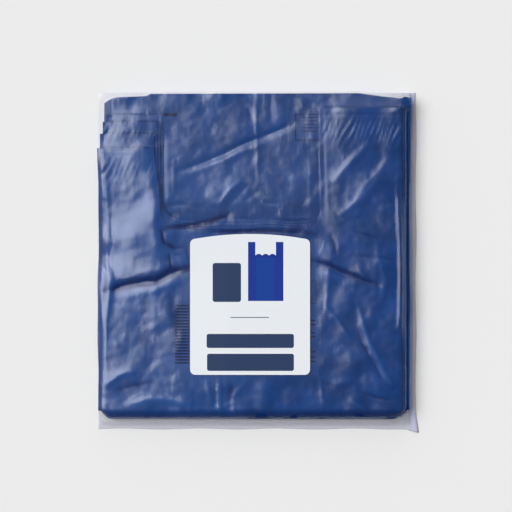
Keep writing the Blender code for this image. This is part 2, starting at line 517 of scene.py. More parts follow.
@dataclass(frozen=True)
class BlownHdpeFilm:
    """Blue high-density polyethylene, blown into thin film and stacked."""

    name: str = "blown_hdpe_bag_film"
    pigment: str = "#07326B"
    thin_pigment: str = "#103E80"
    # Painted shade and painted highlight colours, which the crease attribute mixes into the pigment.
    painted_shade_colour: str = "#041F55"
    painted_highlight_colour: str = "#2A5496"
    most_painted_shade: float = 0.95
    most_painted_highlight: float = 0.75
    roughness: float = 0.28
    ior: float = 1.54
    wax: float = 0.34
    die_line_pitch_mm: float = 1.1
    die_line_depth_mm: float = 0.1
    mottle_mm: float = 26.0
    shade_map_name: str = "crease"

    def make(self) -> Material:
        """Makes the material: a soft waxy sheen, faint die lines, a cloudy pigment, and painted shade and
        highlight.

        Returns:
            The material.
        """
        material, tree, place = start_material(self.name)
        cloud = add_noise(tree, place, self.mottle_mm, 3.0, roughness=0.55)
        blend = add_ramp(tree, cloud, ((0.36, self.pigment), (0.68, self.thin_pigment)))
        # Painted shade and highlight: the point attribute mixes a darker colour into creases and other shaded
        # places, and a paler colour onto ridges and where light falls more.
        crease = add_node(tree, "Attribute", output="Fac", attribute_name=self.shade_map_name)
        down = add_node(tree, "MapRange", {"Value": crease, "From Max": -1.0, "To Max": self.most_painted_shade})
        up = add_node(tree, "MapRange", {"Value": crease, "To Max": self.most_painted_highlight})
        tone = blend
        for share, colour in ((down, self.painted_shade_colour), (up, self.painted_highlight_colour)):
            tone = add_node(tree, "MixRGB", {"Fac": share, "Color1": tone, "Color2": linear(colour)})
        # The waxy sheen is turned down under the painted shade as well, which deepens it.
        waxy = add_node(tree, "MapRange", {"Value": down, "To Min": self.wax, "To Max": 0.0})
        # Die lines run along the film, so they are stretched in Y and pitched in X.
        lines = add_noise(tree, place, self.die_line_pitch_mm, 1.0, (1.0, 0.03, 1.0))
        shader = add_node(tree, "BsdfPrincipled", {
            "Base Color": tone, "Roughness": self.roughness, "IOR": self.ior, "Specular IOR Level": waxy,
            "Normal": add_bump(tree, lines, 0.10, self.die_line_depth_mm)})
        add_node(tree, "OutputMaterial", {"Surface": shader})
        return material


@dataclass(frozen=True)
class KnifeCutFilmEdges:
    """The cut edges of many blue films pressed together."""

    name: str = "knife_cut_hdpe_edges"
    lit: str = "#3D5FA6"
    gap: str = "#0A2250"
    roughness: float = 0.5
    # One film is 0.015 mm thick; the lines are drawn 30 times coarser so that they show.
    layer_mm: float = 0.45
    layer_depth_mm: float = 0.2

    def make(self) -> Material:
        """Makes the material: light and dark lines like the edge of a paper block.

        Returns:
            The material.
        """
        material, tree, place = start_material(self.name)
        layers = add_noise(tree, place, self.layer_mm, 2.0, (0.04, 0.04, 1.0))
        shader = add_node(tree, "BsdfPrincipled", {
            "Base Color": add_ramp(tree, layers, ((0.38, self.gap), (0.62, self.lit))),
            "Roughness": self.roughness, "Normal": add_bump(tree, layers, 0.6, self.layer_depth_mm)})
        add_node(tree, "OutputMaterial", {"Surface": shader})
        return material


@dataclass(frozen=True)
class CastClearFilm:
    """Clear polypropylene, cast thin and heat sealed: a hard gloss over a slight milky haze."""

    name: str = "cast_polypropylene_sleeve"
    haze: str = "#C4C5DC"
    gloss: str = "#E9EEFF"
    touching_haze: float = 0.006
    lifted_haze: float = 0.026
    pleated_haze: float = 0.34
    haze_roughness: float = 0.35
    most_mirror: float = 0.092
    roughness: float = 0.20
    ior: float = 1.50
    crinkle_mm: float = 6.5
    crinkle_depth_mm: float = 0.45
    loft_name: str = "loft"
    pleat_and_painted_light_name: str = "pleated"

    def make(self) -> Material:
        """Makes the material: clearer where it touches the bags, milkier where it stands off.

        Returns:
            The material.
        """
        material, tree, place = start_material(self.name)
        loft = add_node(tree, "Attribute", output="Fac", attribute_name=self.loft_name)
        pleat_and_painted_light = add_node(tree, "Attribute", output="Fac", attribute_name=self.pleat_and_painted_light_name)
        amount = add_node(tree, "MapRange", {"Value": loft, "To Min": self.touching_haze,
                                             "To Max": self.lifted_haze})
        # The pleat attribute also carries painted light: extra haze that lightens the far-right margin in the
        # stack's shadow.
        added = add_node(tree, "Math", {0: pleat_and_painted_light, 1: self.pleated_haze, 2: amount}, operation="MULTIPLY_ADD")
        clear = add_node(tree, "BsdfTransparent", {"Color": (1.0, 1.0, 1.0, 1.0)})
        milk = add_node(tree, "BsdfPrincipled", {"Base Color": linear(self.haze),
                                                 "Roughness": self.haze_roughness})
        body = add_node(tree, "MixShader", {0: added, 1: clear, 2: milk})
        # Cast film keeps fine crinkles that run mostly along the tube.
        crinkle = add_noise(tree, place, self.crinkle_mm, 3.0, (1.0, 0.3, 1.0))
        mirror = add_node(tree, "BsdfAnisotropic", {
            "Color": linear(self.gloss), "Roughness": self.roughness,
            "Normal": add_bump(tree, crinkle, 0.5, self.crinkle_depth_mm)})
        # A single film is so thin that it never mirrors fully, even seen along its face.
        edge = add_node(tree, "Fresnel", {"IOR": self.ior})
        shine = add_node(tree, "Math", {0: edge, 1: self.most_mirror}, operation="MINIMUM")
        film = add_node(tree, "MixShader", {0: shine, 1: body, 2: mirror})
        add_node(tree, "OutputMaterial", {"Surface": film})
        return material


@dataclass(frozen=True)
class PrintedFinish:
    """A flat printed or coated surface in one colour, with the fine grain of its stock."""

    name: str
    colour: str
    roughness: float
    grain_mm: float = 0.6
    grain_depth_mm: float = 0.05
    grain_strength: float = 0.08
    grain_tone: float = 0.03
    gloss: float = 0.18

    def make(self) -> Material:
        """Makes the material: an even colour that a fine grain keeps from looking like plastic.

        Returns:
            The material.
        """
        material, tree, place = start_material(self.name)
        grain = add_noise(tree, place, self.grain_mm, 2.0)
        level = add_node(tree, "MapRange", {"Value": grain, "To Min": 1 - self.grain_tone,
                                            "To Max": 1 + self.grain_tone})
        tone = add_node(tree, "HueSaturation", {"Color": linear(self.colour), "Value": level})
        shader = add_node(tree, "BsdfPrincipled", {
            "Base Color": tone, "Roughness": self.roughness, "Specular IOR Level": self.gloss,
            "Normal": add_bump(tree, grain, self.grain_strength, self.grain_depth_mm)})
        add_node(tree, "OutputMaterial", {"Surface": shader})
        return material


# Coated label paper keeps a satin face; its inks dry a little duller than the coat.
LABEL_PAPER = PrintedFinish("coated_label_paper", "#E0E4E9", 0.50)
NAVY_INK = PrintedFinish("navy_offset_ink", "#26395C", 0.50)
BAG_INK = PrintedFinish("blue_offset_ink", "#11308C", 0.50)
BAG_LIGHT_INK = PrintedFinish("light_blue_offset_ink", "#083A90", 0.50)
GREY_INK = PrintedFinish("grey_offset_ink", "#4A5568", 0.45)
# Flexographic ink on the bags is thin, so the blue film darkens it to near navy.
FLEXO_INK = PrintedFinish("dark_flexographic_ink", "#0A1C48", 0.50)


# ---------------------------------------------------------------- the folded bags


@dataclass
class BagStack:
    """Where the folded bags lie: the shape that all four bundles share.

    A stretch gives the two places between which something grows from nothing to its full size.
    """

    levels: int = 4
    base: float = 0.75
    top: float = 20.4
    middle_top: float = 18.4
    highest_crease: float = 0.9
    gap: float = 0.12
    handle_width: float = 55.0
    cutout_width: float = 159.4
    mouth_drop: float = 132.7
    mouth_step: float = 3.2
    mouth_corner: float = 18.0
    right_handle_drop: float = 15.4
    handle_ends: tuple[float, ...] = (108.65, 122.55, 134.05, 140.75)
    inner_gather_reach: float = 15.0
    fold_radius: float = 10.25
    fold_step: float = 2.6
    lower_share: float = 0.48
    nested_shares: tuple[float, ...] = (1.0, 0.89, 0.79, 0.69, 0.0)
    relief: float = 0.8
    left_gusset: Stretch = (-104, -70)
    right_gusset: Stretch = (58, 96)
    over_mouth: Stretch = (-20, 30)
    # The left handle leans to its edge, most of all where it leaves the mouth.
    lean: float = 1.1
    lean_power: float = 1.15
    lean_eased: float = 0.6
    eased_part: Stretch = (60, 100)
    root_lean: float = 7.4
    root_start: Stretch = (-18, 8)
    root_end: Stretch = (30, 100)
    body_slope: float = 3.4
    body_slope_from: float = -30.0
    body_slope_reach: float = 124.0
    left_drop: float = 2.6
    left_drop_width: float = 7.0
    left_drop_end: Stretch = (90, 120)
    right_drop: float = 3.6
    right_drop_past: Stretch = (-4, 9)
    fold_drop: float = 0.9
    fold_drop_reach: float = 30.0
    # The label bridges the creases and presses the film flat.
    label_rise: float = 1.0
    label_reach: float = 16.0
    label_press: float = 0.85
    # Between the handles the lower half puffs up.
    puff: float = 7.2
    recess_centre: float = -14.75
    recess_edge: Stretch = (77, 93)
    recess_start: Stretch = (30, 58)
    recess_relief: Stretch = (12, 34)
    past_end: Stretch = (-4, 1)
    # The left handles' inner edges fan out towards the mouth.
    fan: float = 6.0
    fan_step: float = 1.6
    fan_part: Stretch = (34, 112)
    # The lower half has slid to the right towards its hem.
    skew_left: float = 5.4
    skew_right: float = 1.6
    skew_power: float = 1.2
    left_tuck: float = 8.5
    left_tuck_width: float = 13.0
    right_tuck: float = 3.0
    right_tuck_width: float = 9.0

    def __post_init__(self) -> None:
        """Reads each bundle's box from the frame and gathers the creases of both halves."""
        self.boxes = [box_mm(f"bag_bundle_{level + 1}") for level in range(self.levels)]
        self.hem = self.boxes[0][1][1]
        self.fold_centre = self.boxes[0][0][1] + self.fold_radius
        self.right_end = self.hem - self.right_handle_drop
        self.label_low, self.label_high = box_mm("front_label")
        ends = (
            HandleEnd(self.handle_ends[0], self.left(0), self.inner_left(0)),
            HandleEnd(self.right_end, self.inner_right(0), self.right(0)),
            HandleEnd(self.handle_ends[-1], self.left(1), self.inner_left(1),
                      gather_reach=self.inner_gather_reach),
        )
        self.front = ends + FRONT_CREASES
        self.front_crumple = (
            Crumple(11, 14, 22, 74, 1.3), Crumple(13, 10, 9, 28, 0.20), Crumple(12, 9, 4, 10, 0.09))
        self.recess_crumple = (
            Crumple(23, 14, 22, 70, 1.4), Crumple(25, 10, 9, 28, 0.24), Crumple(24, 9, 4, 10, 0.09))

    def left(self, level: int) -> float:
        """Left edge of a bundle's upper half."""
        return self.boxes[level][0][0]

    def right(self, level: int) -> float:
        """Right edge of a bundle's upper half."""
        return self.boxes[level][1][0]

    def inner_left(self, level: int) -> float:
        """Inner edge of a bundle's left handle."""
        return self.left(level) + self.handle_width

    def inner_right(self, level: int) -> float:
        """Inner edge of a bundle's right handle."""
        return self.inner_left(level) + self.cutout_width

    def slant(self, level: int, y: Array) -> Array:
        """How far a left handle's inner edge has moved to the right on its way down to the mouth."""
        return (self.fan - self.fan_step * level) * (1 - smooth(y, *self.fan_part))

    def mouth(self, level: int) -> float:
        """How far up a bundle's mouth reaches."""
        return self.hem - self.mouth_drop + level * self.mouth_step

    def plain_top(self, x: Array, y: Array) -> Array:
        """Height of the stack's front without its creases.

        Args:
            x: Places across the pack.
            y: Places along the pack.

        Returns:
            The smooth height: high over the side gussets, lower in the middle and at the edges.
        """
        left_gusset = (1 - smooth(x, *self.left_gusset)) * smooth(y, *self.over_mouth)
        gussets = np.maximum(left_gusset, smooth(x, *self.right_gusset))
        height = self.middle_top + (self.top - self.middle_top) * gussets
        lean = np.clip((self.inner_left(0) - x) / self.handle_width, 0, 1) ** self.lean_power
        root = self.root_lean * smooth(y, *self.root_start) * (1 - smooth(y, *self.root_end))
        height = height - lean * (self.lean - self.lean_eased * smooth(y, *self.eased_part) + root)
        slope = np.clip((self.body_slope_from - x) / self.body_slope_reach, 0, 1)
        height = height - self.body_slope * slope * (1 - smooth(y, *self.over_mouth))
        edge = 1 - smooth(x, self.left(0), self.left(0) + self.left_drop_width)
        height = height - self.left_drop * edge**2 * (1 - smooth(y, *self.left_drop_end))
        inside, past = self.right_drop_past
        height = height - self.right_drop * smooth(x, self.right(0) + inside, self.right(0) + past) ** 1.5
        fold = 1 - smooth(y, self.fold_centre, self.fold_centre + self.fold_drop_reach)
        return height - self.fold_drop * fold

    def under_label(self, x: Array, y: Array) -> Array:
        """Finds where the label presses the film flat.

        Args:
            x: Places across the pack.
            y: Places along the pack.

        Returns:
            One under the label, and zero a little outside it.
        """
        low, high, reach = self.label_low, self.label_high, self.label_reach
        inside_x = smooth(x, low[0] - reach, low[0] + 1) * (1 - smooth(x, high[0] - 1, high[0] + reach))
        inside_y = smooth(y, low[1] - reach, low[1] + 1) * (1 - smooth(y, high[1] - 5, high[1] + 3))
        return inside_x * inside_y

    def label_face(self, x: Array, y: Array) -> Array:
        """Underside of the label: the plain front, bridged smoothly."""
        return self.plain_top(x, y) + self.label_rise

    def front_height(self, x: Array, y: Array) -> Array:
        """Height of the outermost bag's front, with its creases.

        Args:
            x: Places across the pack.
            y: Places along the pack.

        Returns:
            The height at each place.
        """
        relief = total_height(self.front, x, y) + total_height(self.front_crumple, x, y)
        relief = relief * (1 - self.label_press * self.under_label(x, y))
        return np.minimum(self.plain_top(x, y) + self.relief * relief, self.top + self.highest_crease)

    def middle(self, x: Array, y: Array) -> Array:
        """Height of the plane between the upper and the lower half."""
        return self.base + self.lower_share * (self.plain_top(x, y) - self.base)

    def recess_height(self, x: Array, y: Array) -> Array:
        """Height of the lower half's face between the handles, with its creases.

        Args:
            x: Places across the pack.
            y: Places along the pack.

        Returns:
            The height at each place.
        """
        relief = total_height(RECESS_CREASES, x, y) + total_height(self.recess_crumple, x, y)
        between = 1 - smooth(np.abs(x - self.recess_centre), *self.recess_edge)
        between = between * smooth(y, *self.recess_start)
        before, after = self.past_end
        past_right = smooth(y, self.right_end + before, self.right_end + after) * (x > 0)
        left_end = self.handle_ends[-1]
        past_left = smooth(y, left_end + before, left_end + after) * (x < 0)
        puff = self.puff * np.maximum(between, np.maximum(past_left, past_right))
        return self.middle(x, y) + puff + self.relief * relief * smooth(y, *self.recess_relief)

    def upper(self, level: float, x: Array, y: Array) -> Array:
        """Height of a bundle's outer skin in the upper half.

        Args:
            level: The bundle, counted from outside. Four is the innermost bundle's inner skin.
            x: Places across the pack.
            y: Places along the pack.

        Returns:
            The height at each place.
        """
        middle = self.middle(x, y)
        share = np.interp(level, range(self.levels + 1), self.nested_shares)
        return middle + (self.front_height(x, y) - middle) * share

    def lower(self, level: float, x: Array, y: Array) -> Array:
        """Outer skin of a bundle's lower half; a level of four is the face in the recess."""
        share = level / self.levels
        return self.base + (self.recess_height(x, y) - self.gap - self.base) * share

    def pull_at_hem(self, x: Array, level: int) -> Array:
        """Finds how far the lower half's hem is drawn back along the top edge.

        Args:
            x: Places across the pack.
            level: The bundle, counted from outside.

        Returns:
            The pull at each place, which is negative.
        """
        places = (-154, -146, -141, -112, -109, 97, 128, 136, 141, 156)
        drawn = (-9.5, -6.5, -4.4, -2.6, -0.6, 0, -4.2, -6.2, -3.4, -7.5)
        return np.interp(x, places, drawn) * (1 - 0.12 * level)

    def tuck_at_fold(self, x: Array, level: int) -> Array:
        """Finds how far the fold is drawn in at the two lower corners.

        Args:
            x: Places across the pack.
            level: The bundle, counted from outside.

        Returns:
            How far the fold's tip moves towards the handles.
        """
        near_left = 1 - smooth(x, self.left(level), self.left(level) + self.left_tuck_width)
        near_right = smooth(x, self.right(level) - self.right_tuck_width, self.right(level))
        return self.left_tuck * near_left**1.5 + self.right_tuck * near_right**1.5

    def top_of_stack(self, x: Array, y: Array) -> Array:
        """Height of whatever lies uppermost, for the film to rest on.

        Args:
            x: Places across the pack.
            y: Places along the pack.

        Returns:
            The stack's height, and zero beside the stack.
        """
        height = np.zeros(x.shape)
        shifted = x - self.lower_skew(x, y)
        under = (y < self.hem + self.pull_at_hem(x, 0)) & (y > self.fold_centre)
        for level in range(self.levels):
            wide = (shifted > self.left(level)) & (shifted < self.right(level))
            height = np.where(under & wide, np.maximum(height, self.lower(level + 1, x, y)), height)
        for level in reversed(range(self.levels)):
            wide = (x > self.left(level)) & (x < self.right(level))
            tip = self.fold_centre - self.fold_radius + self.fold_step * level + self.tuck_at_fold(x, level)
            bend = np.clip((y - tip) / (self.fold_centre - tip), 0, 1)
            round_off = np.sqrt(np.clip(1 - (1 - bend) ** 2, 0, 1))
            crown = self.middle(x, y) + (self.upper(level, x, y) - self.middle(x, y)) * round_off
            left_handle = (x < self.inner_left(level) + self.slant(level, y)) & (y < self.handle_ends[level])
            right_handle = (x > self.inner_right(level)) & (y < self.right_end)
            here = wide & (y > tip) & (left_handle | right_handle | (y < self.mouth(level)))
            height = np.where(here, np.maximum(height, crown), height)
        return height

    def lower_skew(self, x: Array, y: Array) -> Array:
        """Finds how far the lower half has slid to the right.

        Args:
            x: Places across the pack.
            y: Places along the pack.

        Returns:
            The slide, which grows towards the hem.
        """
        share = smooth(y, self.recess_start[0], self.hem) ** self.skew_power
        across = smooth(x, self.left(0), self.right(0))
        return share * (self.skew_left + (self.skew_right - self.skew_left) * across)


@dataclass
class BagBundle:
    """A quarter of the bags, folded in half round the bundles inside it."""

    stack: BagStack
    level: int
    column_step: float = 1.7
    fine_row: float = 1.6
    covered_row: float = 2.8
    lower_row: float = 4.0
    coarse_row: float = 7.0
    edge_step: float = 0.7
    mouth_row: float = 0.8
    fold_rows: int = 12
    skin_shares: tuple[float, float] = (0.03, 0.97)
    least_radius: float = 0.4
    least_radius_step: float = 0.5
    pull_up: float = 46.0
    pull_down: float = 34.0
    beyond_mouth: float = 9.0
    slant_reach: float = 12.0
    # Painted light in the films' colour: a painted highlight over the left half, paler colour in the recess,
    # and painted shade along the fold, on the far-left strip and beside the cut edges of the bundle above.
    painted_left_highlight: float = 0.46
    recess_paling: float = 0.12
    painted_fold_shade: float = 0.9
    painted_left_edge_shade: float = 0.8
    painted_edge_shade: float = 0.9
    edge_shade_width: float = 0.9

    def columns(self) -> Array:
        """Finds places across the bundle, with a column on each handle's inner edge.

        Returns:
            The places, from left to right.
        """
        stack, level, step = self.stack, self.level, self.column_step
        stops = [(stack.left(level), step), (stack.inner_left(level), step), (stack.inner_right(level), step)]
        if level > 0:
            stops += [(stack.inner_left(level - 1), self.edge_step), (stack.inner_right(level - 1), step)]
            stops += [(stack.right(level - 1), self.edge_step)]
        return spaced(sorted(stops) + [(stack.right(level), step)])

    def row_lines(self) -> tuple[Array, Array]:
        """Finds rows of the upper half from its ends to the fold, and of the lower half to the hem.

        Returns:
            The upper rows and the lower rows, as places along the pack.
        """
        stack, level = self.stack, self.level
        step = self.fine_row if level == 0 else self.covered_row
        end, mouth = stack.handle_ends[level], stack.mouth(level)
        upper = [(stack.right_end, step), (end, step)]
        if level > 0:
            above = stack.handle_ends[level - 1]
            upper += [(above + 3 * self.edge_step, self.edge_step), (above, step), (mouth, self.mouth_row)]
            upper += [(stack.mouth(level - 1), step), (mouth - 20, self.coarse_row)]
        else:
            upper += [(mouth, step)]
        upper += [(stack.fold_centre, step)]
        face = self.fine_row if level == stack.levels - 1 else self.lower_row
        lower = [(stack.fold_centre, self.coarse_row), (14.0, face), (stack.boxes[level][1][1], face)]
        return spaced(upper), spaced(lower)

    def skin(self, depth: float, columns: Array, upper_rows: Array, lower_rows: Array) -> Array:
        """Lays one skin of the bundle: upper half, fold and lower half.

        Args:
            depth: How deep the skin lies, counted in bundles from outside.
            columns: Places across the bundle.
            upper_rows: Places along the upper half, from its ends to the fold.
            lower_rows: Places along the lower half, from the fold to the hem.

        Returns:
            The skin's points, rows by columns by three.
        """
        stack, level = self.stack, self.level
        x, y = np.meshgrid(columns, upper_rows)
        y = y + self.round_mouth(x, y)
        x = x + self.edge_sway(x, y)
        upper = np.stack([x, y, stack.upper(depth, x, y)], axis=2)
        x, y = np.meshgrid(columns, lower_rows)
        pulled = y + stack.pull_at_hem(x, level) * smooth(y, 60, stack.hem)
        slid = x + stack.lower_skew(x, y)
        lower = np.stack([slid, pulled, stack.lower(depth, slid, pulled)], axis=2)
        high, low = upper[-1, :, 2], lower[0, :, 2]
        tuck = stack.tuck_at_fold(columns, level) * (1 - 0.15 * level)
        radius = stack.fold_radius - stack.fold_step * depth - tuck
        radius = np.maximum(radius, self.least_radius + self.least_radius_step * (stack.levels - depth))
        turn_x, turn = np.meshgrid(columns, np.linspace(0, np.pi, self.fold_rows + 2)[1:-1])
        out = stack.fold_centre - radius[None, :] * np.sin(turn)
        rise = (high + low)[None, :] / 2 + (high - low)[None, :] / 2 * np.cos(turn)
        return np.concatenate([upper, np.stack([turn_x, out, rise], axis=2), lower])

    def skins(self) -> tuple[Array, Array, Array]:
        """Lays both skins of the bundle, and finds which cells hold film.

        Returns:
            Outer points, inner points and the mask of kept cells.
        """
        stack, level = self.stack, self.level
        columns = self.columns()
        upper_rows, lower_rows = self.row_lines()
        outer, inner = [self.skin(level + share, columns, upper_rows, lower_rows)
                        for share in self.skin_shares]
        keep = np.ones((outer.shape[0] - 1, len(columns) - 1), bool)
        centre = (columns[1:] + columns[:-1]) / 2
        rows = (upper_rows[1:] + upper_rows[:-1]) / 2
        cut_out = (centre > stack.inner_left(level)) & (centre < stack.inner_right(level))
        short = centre < stack.inner_left(level)
        keep[:len(rows)] &= ~np.outer(rows > stack.mouth(level), cut_out)
        keep[:len(rows)] &= ~np.outer(rows > stack.handle_ends[level], short)
        return outer, inner, keep

    def round_mouth(self, x: Array, y: Array) -> Array:
        """Lifts the rows beside the handles, so that the mouth's corners are round.

        Args:
            x: Places across the pack.
            y: Places along the pack.

        Returns:
            How far each place moves along the pack.
        """
        stack, level = self.stack, self.level
        radius, mouth = stack.mouth_corner, stack.mouth(level)
        inside = np.minimum(x - stack.inner_left(level), stack.inner_right(level) - x)
        near = np.clip(1 - inside / radius, 0, 1)
        lift = radius * (1 - np.sqrt(np.clip(1 - near * near, 0, 1)))
        beyond = np.exp(-np.clip(-inside, 0, None) / self.beyond_mouth)
        lift = np.where(inside < 0, radius * beyond, lift)
        wave = 0.9 * np.sin(x / 17.0 + level) + 0.5 * np.sin(x / 7.3)
        away = (y - mouth) / np.where(y > mouth, self.pull_up, self.pull_down)
        return (lift + wave) * np.clip(1 - np.abs(away), 0, 1) ** 1.3

    def edge_sway(self, x: Array, y: Array) -> Array:
        """Lets the bundle's long edges wander a little, so that they aren't ruled lines.

        Args:
            x: Places across the pack.
            y: Places along the pack.

        Returns:
            How far each place moves across the pack.
        """
        stack = self.stack
        wander = 0.5 * np.sin(y / 31.0 + self.level) + 0.25 * np.sin(y / 9.7 + 2 * self.level)
        near = np.exp(-(((x - stack.inner_left(self.level)) / self.slant_reach) ** 2))
        slant = stack.slant(self.level, y) * (near * smooth(y, -40, 20))
        return slant + wander * smooth(y, stack.fold_centre, stack.fold_centre + 40)

    def paint_shade_map(self, mesh: bpy.types.Mesh, points: Array, shade_map_name: str) -> None:
        """Stores painted shade and painted highlight at each point: shade in crease valleys, along the fold,
        on the far-left strip and beside cut edges; highlight on ridges and over the left half.

        Args:
            mesh: The bundle's mesh.
            points: The mesh's points, in millimetres.
            shade_map_name: The attribute's name.
        """
        x, y, z = points.T
        stack = self.stack
        above = z > stack.middle(x, y)
        front = total_height(FRONT_CREASES, x, y)
        deep = np.zeros(x.shape)
        if self.level == stack.levels - 1:
            deep = total_height(RECESS_CREASES, x, y)
        # Crease valleys get painted shade, ridges a painted highlight.
        crease = np.clip(np.where(above, front, deep * smooth(y, *stack.recess_relief)), -1, 1)
        crease = np.sign(crease) * np.abs(crease) ** 1.5
        # Painted highlight: a paler colour over the left half stands in for the light falling there; the
        # recess is made paler too.
        paler_share = self.painted_left_highlight * (1 - smooth(x, -60, 50)) * (1 - 0.7 * smooth(y, 84, 116))
        paler_share = paler_share + self.recess_paling * smooth(y, 10, 60) * (1 - smooth(x, 40, 70))
        at_left = 1 - smooth(x, stack.left(0) + 1, stack.left(0) + 7)
        crease = crease + paler_share * (1 - smooth(-crease, 0, 0.4))
        # Painted shade: a darker colour along the fold's underside, on the far-left strip and beside the cut
        # edges above.
        crease = crease - self.painted_fold_shade * (1 - smooth(y, -149, -140))
        crease = crease - self.painted_left_edge_shade * at_left * (y < 100)
        crease = crease - self.painted_edge_shade * self.under_edge(x, y) * above
        crease = np.clip(crease, -1, 1).astype(np.float32)
        mesh.attributes.new(shade_map_name, "FLOAT", "POINT").data.foreach_set("value", crease)

    def under_edge(self, x: Array, y: Array) -> Array:
        """Finds how closely each place lies beside a cut edge of the bundle above, where painted shade goes.

        Args:
            x: Places across the pack.
            y: Places along the pack.

        Returns:
            One right beside the edge, falling to zero within about 2 mm.
        """
        stack, above, far = self.stack, self.level - 1, 9.0
        if above < 0:
            return np.zeros(x.shape)
        left, right = stack.inner_left(above), stack.inner_right(above)
        mouth = stack.mouth(above)
        mouth = mouth + BagBundle(stack, above).round_mouth(x, np.full(x.shape, mouth))
        inner_left = left + stack.slant(above, y)
        beside = np.minimum(np.abs(x - inner_left - 0.35), np.abs(x - right + 0.35))
        beside = np.where(y > mouth, beside, far)
        beside = np.minimum(beside, np.where(x > stack.right(above), x - stack.right(above), far))
        past = np.where((y > mouth) & (x > left) & (x < right), y - mouth, far)
        end = np.abs(y - stack.handle_ends[above] - 0.5)
        past = np.minimum(past, np.where(x < left, end, far))
        return np.exp(-((np.minimum(beside, past) / self.edge_shade_width) ** 2))

    def build(self, film: Material, edges: Material, shade_map_name: str) -> Piece:
        """Builds the bundle and puts it in its CAD solid's place.

        Args:
            film: The finish of the bags' faces.
            edges: The finish of the cut edges round them.
            shade_map_name: The attribute that the film's finish reads its painted shade and highlight from.

        Returns:
            The bundle's object.
        """
        points, faces, skin_count = closed_skins(*self.skins())
        piece = make_piece(f"folded_bags_{self.level + 1}", points, faces, film)
        piece.data.materials.append(edges)
        index = np.zeros(len(faces), np.int32)
        index[skin_count:] = 1
        piece.data.polygons.foreach_set("material_index", index)
        mark_rim_sharp(piece.data, skin_count)
        self.paint_shade_map(piece.data, points, shade_map_name)
        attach(piece, BODY)
        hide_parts(f"bag_bundle_{self.level + 1}")
        return piece


def mark_rim_sharp(mesh: bpy.types.Mesh, skin_count: int) -> None:
    """Marks the rim between skins and walls as a sharp edge.

    Args:
        mesh: A mesh whose first faces are its two skins, and the rest its walls.
        skin_count: How many faces are skins.
    """
    rim = set()
    for face in mesh.polygons[skin_count:]:
        rim.update((tuple(sorted(face.edge_keys[0])), tuple(sorted(face.edge_keys[2]))))
    sharp = np.array([tuple(sorted(edge.vertices)) in rim for edge in mesh.edges])
    mesh.attributes.new("sharp_edge", "BOOLEAN", "EDGE").data.foreach_set("value", sharp)


# ---------------------------------------------------------------- the clear sleeve


